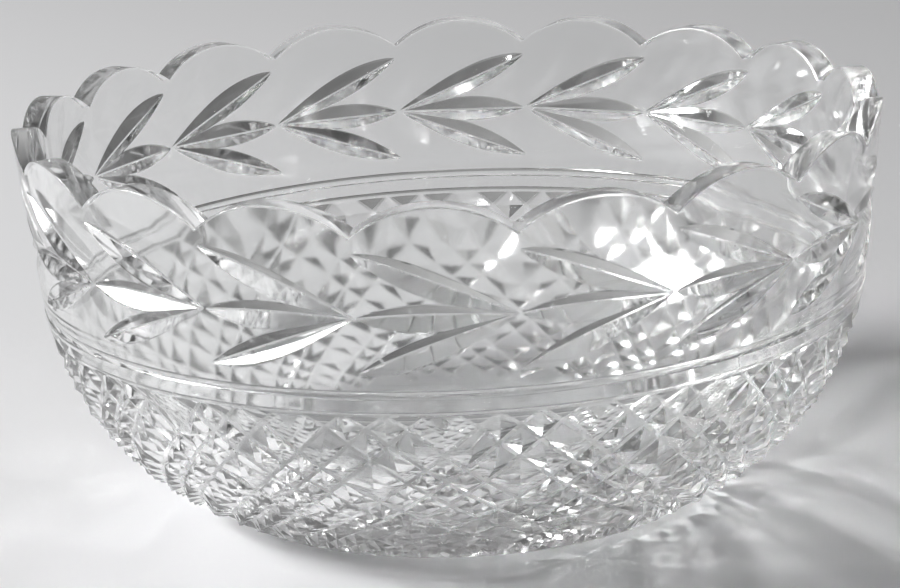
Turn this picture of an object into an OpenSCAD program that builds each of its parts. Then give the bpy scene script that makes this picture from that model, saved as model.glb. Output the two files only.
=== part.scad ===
// Cut-glass salad bowl, one piece of clear glass: a scalloped rim, a wreath of leaf sprays,
// two ring grooves, a field of diamonds and a star under the base.
// Sizes are in millimetres. Z points up, and the base stands on Z = 0 round the origin.

/* [Bowl] */
// Width across the outside of the rim, at its crests
rim_w = 229; // [215:1:245]
// Height from the table to the crests of the rim
height = 105.5; // [100:0.5:118]
// Lean of the upper wall away from upright, in degrees
wall_lean = 6; // [4:0.1:8]
// Outside radius of the round lower body
heel_r = 68; // [64:0.5:72]
// Width of the flat base
base_w = 124; // [114:1:130]
// Thickness of the wall
wall_t = 6.8; // [6:0.1:9]
// Thickness of the floor
floor_t = 9.5; // [8:0.5:12]
// Radius of the round corner inside, between the wall and the floor
inner_r = 50; // [46:0.5:56]

/* [Rim] */
// Scallops round the rim
scallops = 18; // [16:1:20]
// Height of a scallop's crest above the cusps beside it
scallop_rise = 7.6; // [5:0.1:9]

/* [Leaf wreath] */
// Height of the points where the three leaves of a spray meet
spray_z = 78; // [76:0.1:80]
// Rise of an upper leaf from that point to its tip
upper_rise = 15.8; // [12:0.1:17]
// Fall of a lower leaf from that point to its tip
lower_fall = 14; // [10:0.1:15]
// Width of a middle leaf
leaf_w = 7; // [5:0.1:8]
// Width of an upper or a lower leaf
side_leaf_w = 6.6; // [4.5:0.1:7.5]
// Plain glass between a leaf's end and the upright line through the next meeting point
leaf_gap = 0.5; // [0.3:0.1:2]

/* [Ring grooves] */
// Height of the middle of the lower ring groove
ring_z = 53.2; // [51.5:0.1:55]
// Distance from the lower ring groove up to the upper one
ring_step = 5.5; // [4:0.1:6]
// Width of a ring groove
ring_w = 2.4; // [1.6:0.1:3]
// Depth of a ring groove
ring_d = 0.6; // [0.4:0.05:1]

/* [Diamonds] */
// Grooves that cross each other under one scallop, each way
scallop_grooves = 3; // [2:1:4]
// Angle between neighbouring grooves of one scallop, in degrees
groove_angle = 5.5; // [5.3:0.1:6]
// Depth of the grooves
groove_d = 2; // [1:0.1:2.5]
// Angle that a groove turns from the ring to its first crossing, in degrees
run_in_angle = 2.5; // [1.5:0.1:2.6]
// Rows of diamonds, counted in groups of as many rows as one scallop has grooves
diamond_groups = 4; // [3:1:5]
// Depth of the diamonds' points below the plain glass
point_d = 0.2; // [0.1:0.05:0.4]
// Plain glass between the diamonds and the edge of the base
base_margin = 6; // [4:0.5:12]

/* [Star] */
// Rays of the star under the base
star_rays = 18; // [12:1:24]
// Width of the star across the tips of its rays
star_w = 100; // [70:1:108]
// Width of the star across the notches between its rays
star_core_w = 26; // [16:1:40]
// Depth of the star at its middle
star_d = 1.4; // [0.8:0.1:2.5]

/* [Hidden] */
$fn = 96;

glass = [0.92, 0.95, 0.96];
// How far a cutting shape stands out of the glass
reach = height;

// Outline of the wall: a straight upper wall that runs smoothly into the round heel
rim_r = rim_w / 2;
base_r = base_w / 2;
wall_dir = [sin(wall_lean), cos(wall_lean)];
wall_out = [cos(wall_lean), -sin(wall_lean)];
wall_reach = wall_out * [rim_r, height];
heel_foot = (wall_reach - heel_r) * wall_out;
to_base = heel_foot - [base_r, 0];
along = wall_dir * to_base;
heel_c = heel_foot + wall_dir * (sqrt(along * along - to_base * to_base + heel_r * heel_r) - along);
heel_top = heel_c + heel_r * wall_out;
inner_z = floor_t + inner_r;
inner_c = [(wall_reach - wall_t - inner_r - inner_z * wall_out[1]) / wall_out[0], inner_z];
inner_top = inner_c + inner_r * wall_out;

function wall_r(z, depth = 0) = (wall_reach - depth - z * wall_out[1]) / wall_out[0];
function heel_angle(z) = asin((heel_c[1] - z) / heel_r);
function heel_point(angle, depth) = heel_c + (heel_r - depth) * [cos(angle), -sin(angle)];
function outer_point(z) = z > heel_top[1] ? [wall_r(z), z] : heel_point(heel_angle(z), 0);
function outward(z) = z > heel_top[1] ? wall_out : [cos(heel_angle(z)), -sin(heel_angle(z))];

// Scallops: each is an arc over one pitch of the rim
pitch = 360 / scallops;
half_scallop = rim_r * sin(pitch / 2);
scallop_r = (half_scallop * half_scallop + scallop_rise * scallop_rise) / (2 * scallop_rise);
drum_h = height - scallop_rise - scallop_rise / 2;
bar_l = rim_r / 2;

// Diamonds: two families of grooves, turning opposite ways down the heel from the lower ring.
// At their lower ends they run out of the glass by run_out.
diamond_rows = scallop_grooves * diamond_groups;
groove_count = scallop_grooves * scallops;
field_turn = pitch * diamond_groups / 2 + 2 * run_in_angle;
field_top = heel_angle(ring_z);
field_end = heel_angle(0) - base_margin / heel_r * 180 / PI;
top_r = heel_point(field_top, 0)[0];
end_r = heel_point(field_end, 0)[0];
narrowing = (top_r - end_r) / (top_r + end_r);
run_out = 0.8;

function groove_at(i) =
    pitch * floor(i / scallop_grooves) + (i % scallop_grooves - (scallop_grooves - 1) / 2) * groove_angle;
function between(i) = (groove_at(i) + groove_at(i + 1)) / 2;
// Share of the field's turn as an angle down the heel: the rows close up as the bowl narrows
function down(share) =
    field_top + (field_end - field_top) * (share * (1 + narrowing) - share * share * narrowing);
function on_field(turn, share, depth) =
    let (p = heel_point(down(share), depth)) [p[0] * cos(turn), p[0] * sin(turn), p[1]];
function meeting(right, left, depth) =
    on_field((right + left) / 2, (run_in_angle + (left - right) / 2) / field_turn, depth);

// Section of the plain glass, right of the axis
module heel_section() {
    intersection() {
        square([rim_w, heel_top[1]]);
        union() {
            translate(heel_c) circle(heel_r);
            square([heel_c[0], heel_top[1]]);
        }
    }
}

module inside_section() {
    intersection() {
        translate([0, floor_t]) square([rim_w, inner_top[1] - floor_t]);
        union() {
            translate(inner_c) circle(inner_r);
            translate([0, floor_t]) square([inner_c[0], inner_r]);
        }
    }
    polygon([
        [0, inner_top[1]],
        inner_top,
        [wall_r(height + reach, wall_t), height + reach],
        [0, height + reach]
    ]);
}

module ring_section(z) {
    ring_r = (ring_w * ring_w / 4 + ring_d * ring_d) / (2 * ring_d);
    translate(outer_point(z) + (ring_r - ring_d) * outward(z)) circle(ring_r);
}

module plain_glass() {
    rotate_extrude() difference() {
        union() {
            heel_section();
            polygon([[0, heel_top[1]], heel_top, [rim_r, height], [0, height]]);
        }
        inside_section();
        ring_section(ring_z);
        ring_section(ring_z + ring_step);
    }
}

// All that lies under the scalloped edge: a drum, and a round bar for each scallop
module under_rim() {
    translate([0, 0, -reach]) cylinder(r = rim_w, h = drum_h + reach);
    for (i = [0 : scallops - 1])
        rotate([0, 0, (i + 0.5) * pitch])
            translate([rim_r - bar_l / 2, 0, height - scallop_r])
                rotate([0, 90, 0]) cylinder(r = scallop_r, h = bar_l);
}

// One straight V-shaped cut across the round wall, rising to the left by rise as seen from outside.
// Its depth follows from its length, since its ends run out of the glass.
module leaf_cut(z, rise, width, turn) {
    mid_z = z + rise / 2;
    half_turn = turn / 2;
    depth = wall_r(mid_z) * (1 - cos(half_turn)) * cos(wall_lean);
    half_length = wall_r(mid_z) * sin(half_turn);
    slope = atan2(rise / cos(wall_lean), 2 * half_length);
    cut_l = 2 * half_length / cos(slope) + 2 * width;
    translate([wall_r(mid_z), 0, mid_z])
        rotate([-slope, wall_lean, 0])
            translate([-depth, 0, 0])
                rotate([90, 0, 0])
                    linear_extrude(cut_l, center = true)
                        polygon([[0, 0], [2 * depth, -width], [2 * depth, width]]);
}

module leaf_spray() {
    gap = leaf_gap / wall_r(spray_z) * 180 / PI;
    rotate([0, 0, -pitch / 2]) leaf_cut(spray_z, 0, leaf_w, pitch - 2 * gap);
    rotate([0, 0, -pitch / 2]) leaf_cut(spray_z, upper_rise, side_leaf_w, pitch - gap);
    rotate([0, 0, -pitch / 2]) leaf_cut(spray_z, -lower_fall, side_leaf_w, pitch - gap);
}

// The space outside the diamonds, from the lower ring down to the margin of the base
module diamond_space() {
    n = groove_count;
    last = diamond_rows;
    far_r = rim_r + reach;
    function end_turn(i) = groove_at(i) + pitch * diamond_groups / 2;

    top_ring = [
        for (i = [0 : n - 1], side = [-1, 1])
            on_field(groove_at(i) + side * run_in_angle, 0, ring_d / 2)
    ];
    crossings = [for (m = [0 : last], i = [0 : n - 1]) meeting(groove_at(i), groove_at(i + m), groove_d)];
    points = [for (m = [0 : last], i = [0 : n - 1]) meeting(between(i), between(i + m), point_d)];
    end_ring = [
        for (i = [0 : n - 1], side = [-1, 1])
            on_field(end_turn(i) + side * run_in_angle, 1, -run_out)
    ];
    far_ring = [for (p = top_ring) let (f = far_r / norm([p[0], p[1]])) [p[0] * f, p[1] * f, p[2]]];
    axis_ends = [[0, 0, -reach], [0, 0, -2 * far_r]];

    c0 = 2 * n;
    p0 = c0 + n * (last + 1);
    e0 = p0 + n * (last + 1);
    f0 = e0 + 2 * n;
    a0 = f0 + 2 * n;
    function top(i, side) = 2 * (i % n) + side;
    function crossing(i, m) = c0 + m * n + i % n;
    function end(i, side) = e0 + 2 * (i % n) + side;
    // Corners of the diamond in row m, anticlockwise from the top as seen from outside
    function corners(i, m) = [
        each m == 0 ? [top(i + 1, 0), top(i, 1)] : [crossing(i + 1, m - 1)],
        crossing(i, m),
        each m == last ? [end(i, 1), end(i + 1, 0)] : [crossing(i, m + 1)],
        crossing(i + 1, m)
    ];

    polyhedron(
        points = concat(top_ring, crossings, points, end_ring, far_ring, axis_ends),
        faces = [
            for (m = [0 : last], i = [0 : n - 1])
                let (c = corners(i, m))
                    for (k = [0 : len(c) - 1]) [c[k], c[(k + 1) % len(c)], p0 + m * n + i],
            for (i = [0 : n - 1]) [crossing(i, 0), top(i, 1), top(i, 0)],
            for (i = [0 : n - 1]) [crossing(i, last), end(i, 0), end(i, 1)],
            for (j = [0 : 2 * n - 1])
                let (k = (j + 1) % (2 * n))
                    each [[j, k, f0 + k, f0 + j], [f0 + j, f0 + k, a0 + 1], [e0 + k, e0 + j, a0]]
        ]
    );
}

// A star of straight rays, deepest in the middle, that runs out at the tips
module star_cut() {
    below = star_d;
    spread = (star_d + below) / star_d;
    tips = [
        for (i = [0 : star_rays - 1], side = [0, 1])
            let (turn = (i + side / 2) * 360 / star_rays)
            let (r = (side == 0 ? star_w : star_core_w) / 2 * spread)
                [r * cos(turn), r * sin(turn), -below]
    ];
    n = len(tips);
    polyhedron(
        points = concat(tips, [[0, 0, star_d]]),
        faces = [
            [for (j = [0 : n - 1]) j],
            for (j = [0 : n - 1]) [(j + 1) % n, j, n]
        ]
    );
}

module bowl() {
    color(glass) difference() {
        intersection() {
            plain_glass();
            under_rim();
        }
        for (i = [0 : scallops - 1]) rotate([0, 0, i * pitch]) leaf_spray();
        diamond_space();
        star_cut();
    }
}

bowl();
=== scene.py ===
# Cut-glass salad bowl: one blank of clear glass, cut with leaf sprays, ring grooves, diamonds and a star.
import math
import bpy
import numpy as np
from mathutils import Matrix, Vector


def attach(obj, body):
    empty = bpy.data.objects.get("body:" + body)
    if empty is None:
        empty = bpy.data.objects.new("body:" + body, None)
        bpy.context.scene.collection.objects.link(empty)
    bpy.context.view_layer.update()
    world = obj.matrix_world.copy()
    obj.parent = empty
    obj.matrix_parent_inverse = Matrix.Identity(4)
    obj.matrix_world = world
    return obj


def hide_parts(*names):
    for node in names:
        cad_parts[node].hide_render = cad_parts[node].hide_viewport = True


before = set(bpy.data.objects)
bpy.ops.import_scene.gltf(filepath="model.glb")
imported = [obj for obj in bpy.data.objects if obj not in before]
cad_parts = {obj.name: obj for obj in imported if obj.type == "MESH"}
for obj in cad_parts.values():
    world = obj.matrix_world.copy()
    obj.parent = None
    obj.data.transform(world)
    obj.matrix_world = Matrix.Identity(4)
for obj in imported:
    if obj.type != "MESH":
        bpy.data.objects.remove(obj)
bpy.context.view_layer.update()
mm = 0.001
scene = bpy.context.scene
scene.view_settings.view_transform = "Standard"

# Lengths of the shapes are in millimetres and angles in degrees, as in the solid.
blank = {
    "rimW": 229.0, "height": 105.5, "wallLean": 6.0, "heelR": 68.0, "baseW": 124.0,
    "wallT": 6.8, "floorT": 9.5, "innerR": 50.0,
    "scallops": 18, "scallopRise": 7.6, "edgeRound": 0.55,
    "ringZ": 53.2, "ringStep": 5.5, "ringW": 2.4, "ringD": 0.6,
}
# How finely the blank is divided: columns under a scallop, and rows along each stretch of its section
grid = {
    "columns": 24, "base": 9, "heel": 10, "groove": 13, "between": 5, "wall": 7, "edge": 9,
    "innerCorner": 44, "floor": 7, "poleR": 8.0,
}

# Outline: a leaning wall that touches the round heel, which ends at the base's edge
lean = math.radians(blank["wallLean"])
rimR, baseR, height = blank["rimW"] / 2, blank["baseW"] / 2, blank["height"]
heelR, wallT, innerR = blank["heelR"], blank["wallT"], blank["innerR"]
wallDir = np.array([math.sin(lean), math.cos(lean)])
wallOut = np.array([math.cos(lean), -math.sin(lean)])
wallReach = wallOut @ [rimR, height]
heelFoot = (wallReach - heelR) * wallOut
toBase = heelFoot - [baseR, 0]
alongWall = wallDir @ toBase
heelC = heelFoot + wallDir * (math.sqrt(alongWall ** 2 - toBase @ toBase + heelR ** 2) - alongWall)
heelTop = heelC[1] + heelR * wallOut[1]
innerZ = blank["floorT"] + innerR
innerC = np.array([(wallReach - wallT - innerR - innerZ * wallOut[1]) / wallOut[0], innerZ])
pitch = 2 * math.pi / blank["scallops"]
halfScallop = rimR * math.sin(pitch / 2)
scallopR = (halfScallop ** 2 + blank["scallopRise"] ** 2) / (2 * blank["scallopRise"])


def wallR(z, depth=0.0):
    # radius of the leaning wall at height z, that far inside it
    return (wallReach - depth - z * wallOut[1]) / wallOut[0]


def heelAngle(z):
    # how far down from level the heel's circle passes height z
    return np.arcsin((heelC[1] - z) / heelR)


def heelPoint(angle, depth=0.0):
    # circle round the heel's centre, angle counted downwards from level
    r = heelR - depth
    return np.stack([heelC[0] + r * np.cos(angle), heelC[1] - r * np.sin(angle)], -1)


def scallopTop(r, phi):
    # height of a scallop's round bar over the point at radius r, turned phi from its crest
    return height - scallopR + np.sqrt(np.maximum(scallopR ** 2 - (r * np.sin(phi)) ** 2, 0))


def rimEdge(phi, depth, rounds=8):
    # where the wall, that far inside, meets the scallop's top: a few rounds of z from r and r from z
    z = np.full_like(phi, height)
    for _ in range(rounds):
        z = scallopTop(wallR(z, depth), phi)
    return wallR(z, depth), z


# Each face keeps its zone through the cuts as its material number
zones = ("outside", "edge", "inside", "middleLeaves", "upperLeaves", "lowerLeaves", "facets", "grooves")
zoneOf = {zoneName: i for i, zoneName in enumerate(zones)}


def meshObject(name, xyz, faces, zone):
    # xyz in millimetres, faces as lists of corner numbers; zone is each face's place in the list of zones
    mesh = bpy.data.meshes.new(name)
    mesh.from_pydata((np.asarray(xyz) * mm).tolist(), [], faces)
    for zoneName in zones:
        mesh.materials.append(bpy.data.materials.get(zoneName) or bpy.data.materials.new(zoneName))
    mesh.polygons.foreach_set("material_index", np.broadcast_to(zone, len(mesh.polygons)).astype(np.int32))
    obj = bpy.data.objects.new(name, mesh)
    scene.collection.objects.link(obj)
    return obj


def grooveArc(z):
    # a ring groove's round bottom, from its lower lip to its upper lip
    w, d = blank["ringW"], blank["ringD"]
    r = (w * w / 4 + d * d) / (2 * d)
    onWall = z > heelTop
    angle = lean if onWall else float(heelAngle(z))
    out = np.array([math.cos(angle), -math.sin(angle)])
    up = np.array([math.sin(angle), math.cos(angle)])
    foot = np.array([wallR(z), z]) if onWall else heelPoint(angle)
    # the lips lie on the wall, or on the heel's circle
    if onWall:
        half = math.asin(w / 2 / r)
    else:
        gap = heelR + r - d
        half = math.acos((gap ** 2 + r ** 2 - heelR ** 2) / (2 * gap * r))
    t = np.linspace(-half, half, grid["groove"])[:, None]
    return foot + (r - d) * out + r * (np.sin(t) * up - np.cos(t) * out)


def blankShell():
    # The section (r, z) carried round the axis: base, heel, ring grooves, wall, rim, inside wall, corner and
    # floor. Rows up to the upper groove and from the inside corner on are the same all round; the rest follow
    # the scallops.
    n = blank["scallops"] * grid["columns"]
    theta = np.arange(n) * (2 * math.pi / n)
    phi = theta % pitch - pitch / 2
    e = blank["edgeRound"]
    lowGroove, highGroove = grooveArc(blank["ringZ"]), grooveArc(blank["ringZ"] + blank["ringStep"])
    grooveTop = highGroove[-1, 1]
    base = np.stack([np.linspace(grid["poleR"], baseR, grid["base"]), np.zeros(grid["base"])], -1)
    heel = heelPoint(np.linspace(heelAngle(0.0), heelAngle(lowGroove[0, 1]), grid["heel"]))[1:-1]
    lips = heelAngle(lowGroove[-1, 1]), heelAngle(highGroove[0, 1])
    between = heelPoint(np.linspace(*lips, grid["between"]))[1:-1]
    low = np.concatenate([base, heel, lowGroove, between, highGroove])
    turn = np.linspace(lean, math.pi / 2, grid["innerCorner"])
    inside = innerC + innerR * np.stack([np.cos(turn), -np.sin(turn)], -1)
    floorR = np.linspace(inside[-1, 0], grid["poleR"], grid["floor"])[1:]
    floor = np.stack([floorR, np.full_like(floorR, blank["floorT"])], -1)

    def allRound(section):
        # the same section at every column
        return np.repeat(section[:, :, None], n, 2)

    def onWall(z, depth=0.0):
        # (r, z) of the wall at height z, that far inside it
        return np.stack([wallR(z, depth), z], -2)

    def onTop(r):
        # (r, z) of the scallops' tops at radius r
        return np.stack([r, scallopTop(r, phi)], -2)

    def bend(a, corner, b):
        # rounded edge: a parabola from a to b with its corner
        t = np.linspace(0, 1, grid["edge"])[:, None, None]
        return (1 - t) ** 2 * a + 2 * t * (1 - t) * corner + t ** 2 * b

    outR, outZ = rimEdge(phi, 0.0)
    inR, inZ = rimEdge(phi, wallT)
    share = np.linspace(0, 1, grid["wall"])[1:-1, None]
    topZ, lowZ = outZ - e * wallDir[1], inZ - e * wallDir[1]
    wall = onWall(grooveTop + share * (topZ - grooveTop))
    outer = bend(onWall(topZ), np.stack([outR, outZ]), onTop(outR - e))
    land = onTop(outR - e + share * (inR - outR + 2 * e))
    inner = bend(onTop(inR + e), np.stack([inR, inZ]), onWall(lowZ, wallT))
    innerWall = onWall(lowZ + share * (inside[0, 1] - lowZ), wallT)
    rows = np.concatenate([
        allRound(low), wall, outer, land, inner, innerWall, allRound(inside), allRound(floor)])
    plain, edge, hollow = zoneOf["outside"], zoneOf["edge"], zoneOf["inside"]
    label = np.repeat([edge, plain, edge, plain, edge, plain, edge, hollow], [
        len(base), len(heel), len(lowGroove), len(between), len(highGroove), len(wall),
        len(outer) + len(land) + len(inner), len(innerWall) + len(inside) + len(floor)])
    # a band of faces belongs to the plain outside if either of its rows does, and to the inside likewise
    least, most = np.minimum(label[:-1], label[1:]), np.maximum(label[:-1], label[1:])
    band = np.where(least == plain, plain, most)

    k = len(rows)
    r, z = rows[:, 0], rows[:, 1]
    xyz = np.stack([r * np.cos(theta), r * np.sin(theta), z], -1).reshape(-1, 3)
    xyz = np.concatenate([xyz, [[0, 0, 0], [0, 0, blank["floorT"]]]])
    a = np.arange(n)
    b = (a + 1) % n
    row = np.arange(k - 1)[:, None] * n
    quads = np.stack([row + a, row + b, row + n + b, row + n + a], -1).reshape(-1, 4)
    foot = np.stack([np.full(n, k * n), b, a], -1)
    top = np.stack([(k - 1) * n + a, (k - 1) * n + b, np.full(n, k * n + 1)], -1)
    zone = np.concatenate([np.repeat(band, n), np.full(n, edge), np.full(n, hollow)])
    return meshObject("blank", xyz, quads.tolist() + foot.tolist() + top.tolist(), zone)


# Leaf sprays: lipSlope is the eased lips' share of the flanks' slope; a cutter overruns its leaf by a tenth
spray = {
    "z": 78.0, "upperRise": 15.8, "lowerFall": 14.0, "leafW": 7.0, "sideLeafW": 6.6, "gap": 0.5,
    "valleyW": 0.5, "cutD": 2.7, "lead": 0.3, "lipD": 0.16, "lipSlope": 0.5, "overrun": 1.1, "stations": 23,
}
leaves = {  # rise over one pitch, width, gap to the next leaf
    "middleLeaves": (0.0, spray["leafW"], 2 * spray["gap"]),
    "upperLeaves": (spray["upperRise"], spray["sideLeafW"], spray["gap"]),
    "lowerLeaves": (-spray["lowerFall"], spray["sideLeafW"], spray["gap"]),
}


def turned(p, angle):
    # points turned by an angle round the axis
    x, y, z = np.moveaxis(np.asarray(p), -1, 0)
    c, s = np.cos(angle), np.sin(angle)
    return np.stack(np.broadcast_arrays(x * c - y * s, x * s + y * c, z), -1)


class Leaf:
    # One wheel cut per scallop, which runs to the left and rises by rise over one pitch. Its section is a V
    # with a narrow flat valley, and polishing has eased its lips to half the flanks' slope. With u from -1 at
    # the stalk to 1 at the tip, it goes cutD (1 - u^2) (1 + lead u) into the wall, so that it is fullest a
    # little past its middle.
    def __init__(self, rise, width, gap):
        turn = pitch - gap / wallR(spray["z"])
        self.width = width
        self.midZ = spray["z"] + rise / 2
        self.r = wallR(self.midZ)
        self.sag = self.r * (1 - math.cos(turn / 2)) * math.cos(lean)
        half = self.r * math.sin(turn / 2)
        slope = math.atan2(rise / math.cos(lean), 2 * half)
        self.reach = half / math.cos(slope)
        up = np.array([math.sin(lean), 0, math.cos(lean)])
        side = np.array([0, 1.0, 0])
        self.out = np.array([math.cos(lean), 0, -math.sin(lean)])
        self.along = up * math.sin(slope) - side * math.cos(slope)
        self.across = up * math.cos(slope) + side * math.sin(slope)
        self.flank = 2 * spray["cutD"] / (width - spray["valleyW"])

    def cutDepth(self, u):
        # depth of the valley along the leaf, the formula above
        return spray["cutD"] * (1 - u ** 2) * (1 + spray["lead"] * u)

    def lipEdge(self, u):
        # how far from the valley's middle the flanks end and the eased lips begin
        return spray["valleyW"] / 2 + np.maximum(self.cutDepth(u) - spray["lipD"], 0) / self.flank

    def cutters(self, name):
        # bars with a section of six corners, the outer two well past the lips so that they clear the wall
        n = blank["scallops"]
        u = np.linspace(-spray["overrun"], spray["overrun"], spray["stations"])[:, None]
        half, edge = spray["valleyW"] / 2, self.lipEdge(u)
        lips = np.array([-1, -1, 0, 0, 1, 1])
        clear = np.array([-1, 0, 0, 0, 0, 1])
        valley = np.array([0, 0, -1, 1, 0, 0])
        y = edge * lips + self.width * clear + half * valley
        pastLip = np.maximum(np.abs(y) - edge, 0)
        x = self.flank * (np.clip(np.abs(y), half, edge) - half + pastLip * spray["lipSlope"])
        x = x - self.cutDepth(u) - self.sag * u ** 2
        bar = ([self.r, 0, self.midZ] + x[..., None] * self.out + y[..., None] * self.across
               + u[..., None] * self.reach * self.along).reshape(-1, 3)
        xyz = turned(bar, ((np.arange(n) - 0.5) * pitch)[:, None]).reshape(-1, 3)
        k = len(lips)
        first = (np.arange(n) * len(bar))[:, None]
        j = np.arange(k)
        j2 = (j + 1) % k
        ends = (first + j).tolist() + (first + len(bar) - k + j[::-1]).tolist()
        row = (np.arange(len(u) - 1) * k)[:, None]
        side = np.stack([row + j2, row + j, row + k + j, row + k + j2], -1).reshape(-1, 4)
        sides = (first[:, :, None] + side).reshape(-1, 4).tolist()
        return meshObject(name, xyz, ends + sides, zoneOf[name])

    def barTurn(self, p):
        # turn of the bar nearest to each point
        return (np.round(np.arctan2(p[:, 1], p[:, 0]) / pitch + 0.5) - 0.5) * pitch

    def onBar(self, p, at):
        # how far across the bar at that turn, and how far along it, points lie from its middle
        q = turned(p, -at) - [self.r, 0, self.midZ]
        return q @ self.across, q @ self.along / self.reach

    def inValley(self, centre):
        # faces whose middle lies over the flat valley
        return np.abs(self.onBar(centre, self.barTurn(centre))[0]) < spray["valleyW"] / 2

    def normals(self, corner, centre):
        # true normals of the cut at its corners: outward, less the slope across, plus the fall along
        # centre is the middle of each corner's own face
        at = self.barTurn(centre)
        y, u = self.onBar(centre, at)
        share = np.where(np.abs(y) > self.lipEdge(u), spray["lipSlope"], 1)
        tilt = np.where(np.abs(y) < spray["valleyW"] / 2, 0, np.sign(y) * self.flank * share)
        u, k = self.onBar(corner, at)[1], spray["lead"]
        fall = (2 * self.sag * u + share * spray["cutD"] * (k - 2 * u - 3 * k * u ** 2)) / self.reach
        n = self.out - tilt[:, None] * self.across + fall[:, None] * self.along
        return turned(n / np.linalg.norm(n, axis=1, keepdims=True), at)


diamonds = {
    "grooves": 3, "grooveAngle": 5.5, "grooveD": 2.1, "runIn": 2.5, "groups": 4,
    "pointD": 0.2, "baseMargin": 6.0, "runOut": 0.8, "bottomW": 1.1, "endTaper": 0.2,
}


def diamondSpace():
    # Two families of grooves turn opposite ways down the heel. A groove pair (right, left) meets at their
    # mean turn; the share of the way down is (run-in + half their difference) / whole turn, bent so that rows
    # close up downwards. A groove's bottom is a flat strip, so a crossing is a small diamond of its own with
    # a north, west, south and east corner, and each big diamond is a four-sided point between the crossings.
    d = diamonds
    n = d["grooves"] * blank["scallops"]
    last = d["grooves"] * d["groups"]
    runIn, taper = math.radians(d["runIn"]), math.radians(d["endTaper"])
    fieldTurn = pitch * d["groups"] / 2 + 2 * runIn
    fieldTop = heelAngle(blank["ringZ"])
    fieldEnd = heelAngle(0.0) - d["baseMargin"] / heelR
    topR, endR = heelPoint(fieldTop)[0], heelPoint(fieldEnd)[0]
    narrowing = (topR - endR) / (topR + endR)
    far = rimR + height

    def grooveAt(i):
        # where groove i starts: its scallop, then its place in the group
        place = i % d["grooves"] - (d["grooves"] - 1) / 2
        return pitch * (i // d["grooves"]) + place * math.radians(d["grooveAngle"])

    def onField(turn, share, depth, right=0.0, up=0.0):
        # a point of the field, moved right and up by shares of the local radius
        angle = fieldTop + (fieldEnd - fieldTop) * (share * (1 + narrowing) - share ** 2 * narrowing)
        r = heelPoint(angle)[..., 0]
        p = heelPoint(angle - up * r / heelR, depth)
        r, z = p[..., 0], p[..., 1]
        return np.stack([r * np.cos(turn + right), r * np.sin(turn + right), z + 0 * turn], -1).reshape(-1, 3)

    def meeting(right, left):
        # turn and share of the way down at which two grooves cross
        return (right + left) / 2, (runIn + (left - right) / 2) / fieldTurn

    i = np.arange(n)
    m = np.arange(last + 1)[:, None]
    middle = (grooveAt(np.arange(n + last + 1)) + grooveAt(np.arange(n + last + 1) + 1)) / 2
    stubs = np.array([-runIn - taper, -runIn + taper, runIn - taper, runIn + taper])
    half = d["bottomW"] / 2 * math.sqrt(2) / topR
    turn, share = meeting(grooveAt(i) + 0 * m, grooveAt(i + m))
    corners = [onField(turn, share, d["grooveD"], right * half, up * half)
               for right, up in ((0, 1), (-1, 0), (0, -1), (1, 0))]
    points = onField(*meeting(middle[i] + 0 * m, middle[i + m]), d["pointD"])
    topTurn = grooveAt(i)[:, None] + stubs
    topRing = onField(topTurn, 0 * topTurn, blank["ringD"] / 2)
    endTurn = topTurn + pitch * d["groups"] / 2
    endRing = onField(endTurn, 0 * endTurn + 1, -d["runOut"])
    farRing = topRing * np.stack([far / np.hypot(topRing[:, 0], topRing[:, 1])] * 2 + [np.ones(4 * n)], -1)
    xyz = np.concatenate([*corners, points, topRing, endRing, farRing, [[0, 0, -height], [0, 0, -2 * far]]])

    # numbers of the corners, by groove and row
    count = n * (last + 1)
    north, west, south, east, point = (lambda j, r, at=k * count: at + r * n + j % n for k in range(5))
    t0 = 5 * count
    e0, f0 = t0 + 4 * n, t0 + 8 * n
    axis = f0 + 4 * n
    top = lambda j, k: t0 + 4 * (j % n) + k
    end = lambda j, k: e0 + 4 * (j % n) + k
    faces, kinds = [], []

    def ring(*cornersOf, kind="facets"):
        # faces with corners anticlockwise as seen from outside the bowl, turned round to face into the glass
        c = np.stack(np.broadcast_arrays(*cornersOf), -1)
        c = c.reshape(-1, c.shape[-1])[:, ::-1]
        faces.extend(c.tolist())
        kinds.extend([zoneOf[kind]] * len(c))

    def fan(tip, *cornersOf):
        # triangles from each side to the tip
        for a, b in zip(cornersOf, cornersOf[1:] + cornersOf[:1]):
            ring(a, b, tip)

    upper, inner = m[:-1], m[1:-1]
    ring(north(i, m), west(i, m), south(i, m), east(i, m), kind="grooves")
    ring(east(i, upper), south(i, upper), west(i, upper + 1), north(i, upper + 1), kind="grooves")
    ring(west(i + 1, upper), north(i, upper + 1), east(i, upper + 1), south(i + 1, upper), kind="grooves")
    fan(point(i, 0), top(i + 1, 0), top(i, 3), east(i, 0), north(i, 1), west(i + 1, 0))
    fan(point(i, inner), south(i + 1, inner - 1), east(i, inner), north(i, inner + 1), west(i + 1, inner))
    fan(point(i, last), south(i + 1, last - 1), east(i, last), end(i, 3), end(i + 1, 0), west(i + 1, last))
    # where the grooves run in under the ring groove and out at the base
    ring(top(i, 1), top(i, 0), west(i, 0), north(i, 0), kind="grooves")
    ring(top(i, 3), top(i, 2), north(i, 0), east(i, 0), kind="grooves")
    ring(top(i, 2), top(i, 1), north(i, 0))
    ring(west(i, last), end(i, 0), end(i, 1), south(i, last), kind="grooves")
    ring(south(i, last), end(i, 2), end(i, 3), east(i, last), kind="grooves")
    ring(south(i, last), end(i, 1), end(i, 2))
    # the far sides, clear of the glass, close the cutter
    j = np.arange(4 * n)
    k = (j + 1) % (4 * n)
    ring(t0 + j, t0 + k, f0 + k, f0 + j)
    ring(f0 + j, f0 + k, np.full(4 * n, axis + 1))
    ring(e0 + k, e0 + j, np.full(4 * n, axis))
    return meshObject("diamondSpace", xyz, faces, kinds)


star = {"rays": 18, "width": 100.0, "coreW": 26.0, "depth": 1.4}


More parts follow.
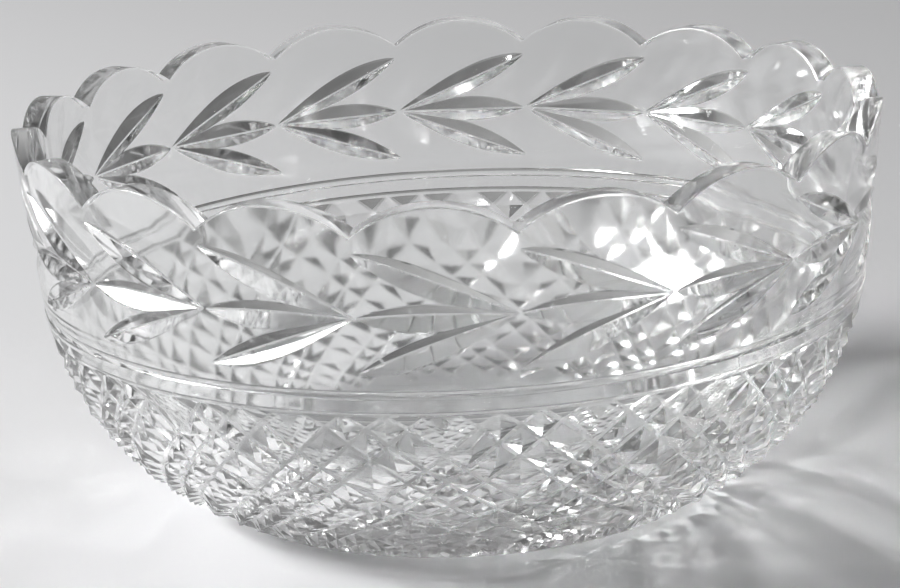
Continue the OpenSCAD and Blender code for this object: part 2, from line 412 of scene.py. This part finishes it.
def starCutter():
    # a flat pyramid over a star-shaped foot that stands as far below the base as the cut goes up into it
    j = np.arange(2 * star["rays"])
    r = np.where(j % 2 == 0, star["width"], star["coreW"])
    turn = j * math.pi / star["rays"]
    foot = np.stack([r * np.cos(turn), r * np.sin(turn), np.full(len(j), -star["depth"])], -1)
    xyz = np.concatenate([foot, [[0, 0, star["depth"]], [0, 0, -star["depth"]]]])
    k = (j + 1) % len(j)
    sides = np.stack([j, k, np.full(len(j), len(j))], -1)
    under = np.stack([k, j, np.full(len(j), len(j) + 1)], -1)
    return meshObject("starCutter", xyz, sides.tolist() + under.tolist(), zoneOf["facets"])


def carve(obj, cutter):
    # takes the cutter's space out of the object's mesh, then removes the cutter
    cut = obj.modifiers.new("cut", "BOOLEAN")
    cut.operation, cut.solver, cut.object = "DIFFERENCE", "MANIFOLD", cutter
    whole = obj.evaluated_get(bpy.context.evaluated_depsgraph_get())
    carved = bpy.data.meshes.new_from_object(whole)
    obj.modifiers.clear()
    old, obj.data = obj.data, carved
    bpy.data.meshes.remove(old)
    cutterMesh, cutterName = cutter.data, cutter.name
    bpy.data.objects.remove(cutter)
    bpy.data.meshes.remove(cutterMesh)
    print("carved by", cutterName, "faces now", len(carved.polygons))


bowl = blankShell()
print("blank ready, faces", len(bowl.data.polygons))
for name, shape in leaves.items():
    carve(bowl, Leaf(*shape).cutters(name))
carve(bowl, diamondSpace())
carve(bowl, starCutter())
bowl.name = bowl.data.name = "cutGlassBowl"

sharpAngle = 25.0  # edges of the blank that turn by more than this stay sharp


def meshValues(items, key, kind, width=1):
    # one value, or a row of them, for each vertex, edge, corner or face
    values = np.zeros(len(items) * width, kind)
    items.foreach_get(key, values)
    return values.reshape(-1, width) if width > 1 else values


def finishFaces(mesh):
    # Facets stay flat, the rest is smooth up to its real edges. On the plain outside and in the leaves the
    # normals are those of the true wall, heel and section, so that thin corners left by the cuts don't show.
    zone = meshValues(mesh.polygons, "material_index", np.int32)
    cornerCount = meshValues(mesh.polygons, "loop_total", np.int32)
    mesh.set_sharp_from_angle(angle=math.radians(sharpAngle))
    mesh.polygons.foreach_set("use_smooth", zone < zoneOf["facets"])
    loopZone = np.repeat(zone, cornerCount)
    edgeOf = meshValues(mesh.loops, "edge_index", np.int32)
    vertexOf = meshValues(mesh.loops, "vertex_index", np.int32)
    low, high = np.full(len(mesh.edges), len(zones)), np.full(len(mesh.edges), -1)
    np.minimum.at(low, edgeOf, loopZone)
    np.maximum.at(high, edgeOf, loopZone)
    sharp = meshValues(mesh.edges, "use_edge_sharp", bool)
    mesh.edges.foreach_set("use_edge_sharp", sharp | ((low != high) & (high >= zoneOf["middleLeaves"])))
    mesh.update()
    normals = meshValues(mesh.corner_normals, "vector", np.float32, 3)
    corner = meshValues(mesh.vertices, "co", np.float32, 3)[vertexOf] / mm
    faceCentre = meshValues(mesh.polygons, "center", np.float32, 3) / mm
    centre = np.repeat(faceCentre, cornerCount, 0)
    x, y, z = corner.T
    angle = np.where(z > heelTop, lean, heelAngle(np.clip(z, 0, heelTop)))
    r = np.maximum(np.hypot(x, y), 1e-6)  # the poles have no direction
    true = np.stack([x / r * np.cos(angle), y / r * np.cos(angle), -np.sin(angle)], -1)
    normals = np.where((loopZone == zoneOf["outside"])[:, None], true, normals)
    bottom = zone == zoneOf["grooves"]
    for name, shape in leaves.items():
        here = loopZone == zoneOf[name]
        normals[here] = Leaf(*shape).normals(corner[here], centre[here])
        here = zone == zoneOf[name]
        bottom[here] = Leaf(*shape).inValley(faceCentre[here])
    mesh.normals_split_custom_set(normals.tolist())
    # the material reads these three to give each kind of face its own haze
    leaf = (zone >= zoneOf["middleLeaves"]) & (zone <= zoneOf["lowerLeaves"]) & ~bottom
    for key, mask in (("insideFace", zone == zoneOf["inside"]), ("bottomFace", bottom), ("leafFace", leaf)):
        mesh.attributes.new(key, "FLOAT", "FACE").data.foreach_set("value", mask.astype(np.float32))
    mesh.polygons.foreach_set("material_index", np.zeros(len(zone), np.int32))
    mesh.materials.clear()
    mesh.calc_loop_triangles()
    print("bowl triangles", len(mesh.loop_triangles), "faces per zone", np.bincount(zone).tolist())


finishFaces(bowl.data)


def newMaterial(name):
    mat = bpy.data.materials.new(name)
    mat.use_nodes = True
    return mat, mat.node_tree.nodes["Principled BSDF"]


def mapped(tree, value, low, high, toLow, toHigh):
    # carries low to toLow and high to toHigh, evenly between them and held beyond
    node = tree.nodes.new("ShaderNodeMapRange")
    for key, number in (("From Min", low), ("From Max", high), ("To Min", toLow), ("To Max", toHigh)):
        node.inputs[key].default_value = number
    tree.links.new(value, node.inputs["Value"])
    return node.outputs["Result"]


# Haze is the roughness of each kind of face; waveLift and wornZ are in metres, the two sizes are noise scales
glassLook = {
    "tint": (0.985, 0.99, 0.988), "ior": 1.54,
    "waveSize": 95.0, "waveDetail": 1.0, "waveLift": 0.00006, "outsideShare": 0.1,
    "outsideHaze": 0.045, "leafHaze": 0.07, "grooveHaze": 0.25,
    "wallHaze": 0.05, "wornHaze": 0.065, "wornZ": (0.025, 0.055),
    "hazeSize": 180.0, "hazeDetail": 2.0, "hazeSwing": (0.5, 1.5),
}


def clearGlass():
    # Clear glass, polished all over. The inside was only blown and melted smooth, so it keeps slow waves, and
    # use has dulled it towards the bottom. The cut outside is flat and almost free of haze, the leaves a bit
    # less so, and the bottoms of the cuts are slightly rounded and spread the light. All haze comes and goes
    # by a half.
    mat, shader = newMaterial("clearGlass")
    tree = mat.node_tree
    link, new = tree.links.new, tree.nodes.new
    shader.inputs["Base Color"].default_value = (*glassLook["tint"], 1)
    shader.inputs["IOR"].default_value = glassLook["ior"]
    shader.inputs["Transmission Weight"].default_value = 1.0
    place, height = new("ShaderNodeTexCoord"), new("ShaderNodeSeparateXYZ")
    inside, leaf, bottom = (new("ShaderNodeAttribute") for _ in range(3))
    inside.attribute_name, leaf.attribute_name, bottom.attribute_name = "insideFace", "leafFace", "bottomFace"
    link(place.outputs["Object"], height.inputs[0])

    def noise(scale, detail):
        node = new("ShaderNodeTexNoise")
        node.inputs["Scale"].default_value, node.inputs["Detail"].default_value = scale, detail
        link(place.outputs["Object"], node.inputs["Vector"])
        return node.outputs["Fac"]

    def times(a, b):
        node = new("ShaderNodeMath")
        node.operation = "MULTIPLY"
        link(a, node.inputs[0])
        link(b, node.inputs[1])
        return node.outputs["Value"]

    def where(mask, no, yes):
        # no off the mask and yes on it, each a number or a socket
        node = new("ShaderNodeMix")
        link(mask.outputs["Fac"], node.inputs["Factor"])
        for socket, value in ((node.inputs["A"], no), (node.inputs["B"], yes)):
            if isinstance(value, float):
                socket.default_value = value
            else:
                link(value, socket)
        return node.outputs["Result"]

    bump = new("ShaderNodeBump")
    bump.inputs["Distance"].default_value = glassLook["waveLift"]
    share = mapped(tree, inside.outputs["Fac"], 0, 1, glassLook["outsideShare"], 1)
    link(times(noise(glassLook["waveSize"], glassLook["waveDetail"]), share), bump.inputs["Height"])
    link(bump.outputs["Normal"], shader.inputs["Normal"])
    wornToClear = glassLook["wornHaze"], glassLook["wallHaze"]
    worn = mapped(tree, height.outputs["Z"], *glassLook["wornZ"], *wornToClear)
    cut = where(leaf, glassLook["outsideHaze"], glassLook["leafHaze"])
    haze = where(inside, where(bottom, cut, glassLook["grooveHaze"]), worn)
    cloud = noise(glassLook["hazeSize"], glassLook["hazeDetail"])
    link(times(haze, mapped(tree, cloud, 0, 1, *glassLook["hazeSwing"])), shader.inputs["Roughness"])
    return mat


bowl.data.materials.append(clearGlass())
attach(bowl, "root")
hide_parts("bowl")
print("bowl has its glass")

# From here on lengths are in metres, but for the camera's
tableLook = {"half": 4.0, "drop": 0.0002, "colour": (0.82, 0.82, 0.83), "roughness": 0.6}


def tableTop():
    # a wide square, just under the base
    h = tableLook["half"]
    mesh = bpy.data.meshes.new("table")
    mesh.from_pydata([(-h, -h, 0), (h, -h, 0), (h, h, 0), (-h, h, 0)], [], [(0, 1, 2, 3)])
    table = bpy.data.objects.new("table", mesh)
    table.location.z = -tableLook["drop"]
    scene.collection.objects.link(table)
    mat, shader = newMaterial("paleTable")
    shader.inputs["Base Color"].default_value = (*tableLook["colour"], 1)
    shader.inputs["Roughness"].default_value = tableLook["roughness"]
    mesh.materials.append(mat)


tableTop()

# Camera where the photograph's was: distance from the middle of the cusps' ring, then small turns of its own
lens = {
    "distance": 824.16, "elevation": 12.918, "azimuth": 2.342, "aimZ": 98.05,
    "pan": 0.0997, "tilt": -3.0856, "roll": 2.5982, "focal": 124.30, "sensor": 36.0, "clipStart": 0.01,
}


def makeCamera():
    # stands back from the aim along the view, turns about its own axes, then about the bowl's
    el, az = math.radians(lens["elevation"]), math.radians(lens["azimuth"])
    ahead = Vector((0, math.cos(el), -math.sin(el)))
    right = Vector((1, 0, 0))
    up = right.cross(ahead)
    place = Vector((0, 0, lens["aimZ"] * mm)) - ahead * lens["distance"] * mm
    axes = Matrix((right, up, -ahead)).transposed()
    for key, column in (("pan", 1), ("tilt", 0), ("roll", 2)):
        axis = axes.col[column] if key != "roll" else -axes.col[column]
        axes = Matrix.Rotation(math.radians(lens[key]), 3, axis) @ axes
    turn = Matrix.Rotation(az, 3, "Z")
    data = bpy.data.cameras.new("camera")
    data.sensor_fit, data.sensor_width, data.lens = "HORIZONTAL", lens["sensor"], lens["focal"]
    data.clip_start = lens["clipStart"]
    camera = bpy.data.objects.new("camera", data)
    camera.matrix_world = Matrix.Translation(turn @ place) @ (turn @ axes).to_4x4()
    scene.collection.objects.link(camera)
    scene.camera = camera


makeCamera()

lamps = {
    "key": {"at": (-1.73, -0.16, 1.12), "size": (0.86, 0.67), "power": 48.5},
    "core": {"at": (-1.68, -0.16, 1.18), "size": (0.26, 0.26), "power": 3.8},
    "fill": {"at": (-0.5, -1.0, 0.9), "size": (0.9, 0.6), "power": 0.8},
}
lampAim = (0, 0, 0.05)


def softLamp(name, look):
    # a rectangle of light that faces the bowl's middle
    data = bpy.data.lights.new(name, "AREA")
    data.shape = "RECTANGLE"
    data.size, data.size_y = look["size"]
    data.energy = look["power"]
    lamp = bpy.data.objects.new(name, data)
    lamp.location = look["at"]
    lamp.rotation_mode = "QUATERNION"
    lamp.rotation_quaternion = (Vector(lampAim) - Vector(look["at"])).to_track_quat("-Z", "Y")
    scene.collection.objects.link(lamp)


for name, look in lamps.items():
    softLamp(name, look)

# A dim room. Overhead grey by height, paler to the left; round the horizon dark at the left and in front, and
# palest behind at the right. Front fades into back, and horizon into overhead, between two marks.
room = {
    "overhead": ((0.25, 0.23), (0.5, 0.14), (1.0, 0.10)), "left": 1.5, "right": 0.42,
    "horizon": ((0.0, 0.13), (0.38, 0.13), (0.5, 0.34), (0.72, 0.66), (1.0, 0.30)), "front": 0.04,
    "frontToBack": (-0.3, 0.3), "horizonToOverhead": (0.18, 0.45),
}


def roomLight():
    # grey by direction: ramps across X and up Z, mixed along Y and Z
    world = bpy.data.worlds.new("room")
    world.use_nodes = True
    tree = world.node_tree
    link, new = tree.links.new, tree.nodes.new
    look, way = new("ShaderNodeTexCoord"), new("ShaderNodeSeparateXYZ")
    link(look.outputs["Generated"], way.inputs[0])

    def between(axis, low, high, toLow=0.0, toHigh=1.0):
        return mapped(tree, way.outputs[axis], low, high, toLow, toHigh)

    def greys(value, stops):
        # ramp of greys with its stops at the given places
        node = new("ShaderNodeValToRGB")
        marks = node.color_ramp.elements
        while len(marks) < len(stops):
            marks.new(0.5)
        for mark, (at, grey) in zip(marks, stops):
            mark.position, mark.color = at, (grey, grey, grey, 1)
        link(value, node.inputs["Fac"])
        return node.outputs["Color"]

    def mixed(kind, factor, a, b):
        # a and b mixed by a factor, each a value or a socket
        node = new("ShaderNodeMix")
        node.data_type, node.blend_type = "RGBA", kind
        for socket, value in ((node.inputs[0], factor), (node.inputs[6], a), (node.inputs[7], b)):
            if isinstance(value, bpy.types.NodeSocket):
                link(value, socket)
            else:
                socket.default_value = value
        return node.outputs[2]

    front = (*[room["front"]] * 3, 1)
    horizon = greys(between("X", -1, 1), room["horizon"])
    overhead = greys(way.outputs["Z"], room["overhead"])
    low = mixed("MIX", between("Y", *room["frontToBack"]), front, horizon)
    high = mixed("MULTIPLY", 1.0, overhead, between("X", -1, 1, room["left"], room["right"]))
    whole = mixed("MIX", between("Z", *room["horizonToOverhead"]), low, high)
    link(whole, tree.nodes["Background"].inputs["Color"])
    scene.world = world


roomLight()

# Light passes many faces of the glass, and what it throws on the table is kept
scene.cycles.max_bounces = 24
scene.cycles.transmission_bounces = 24
scene.cycles.glossy_bounces = 12
scene.cycles.blur_glossy = 0.0
scene.cycles.sample_clamp_indirect = 40.0
print("stage, lamps and camera ready")
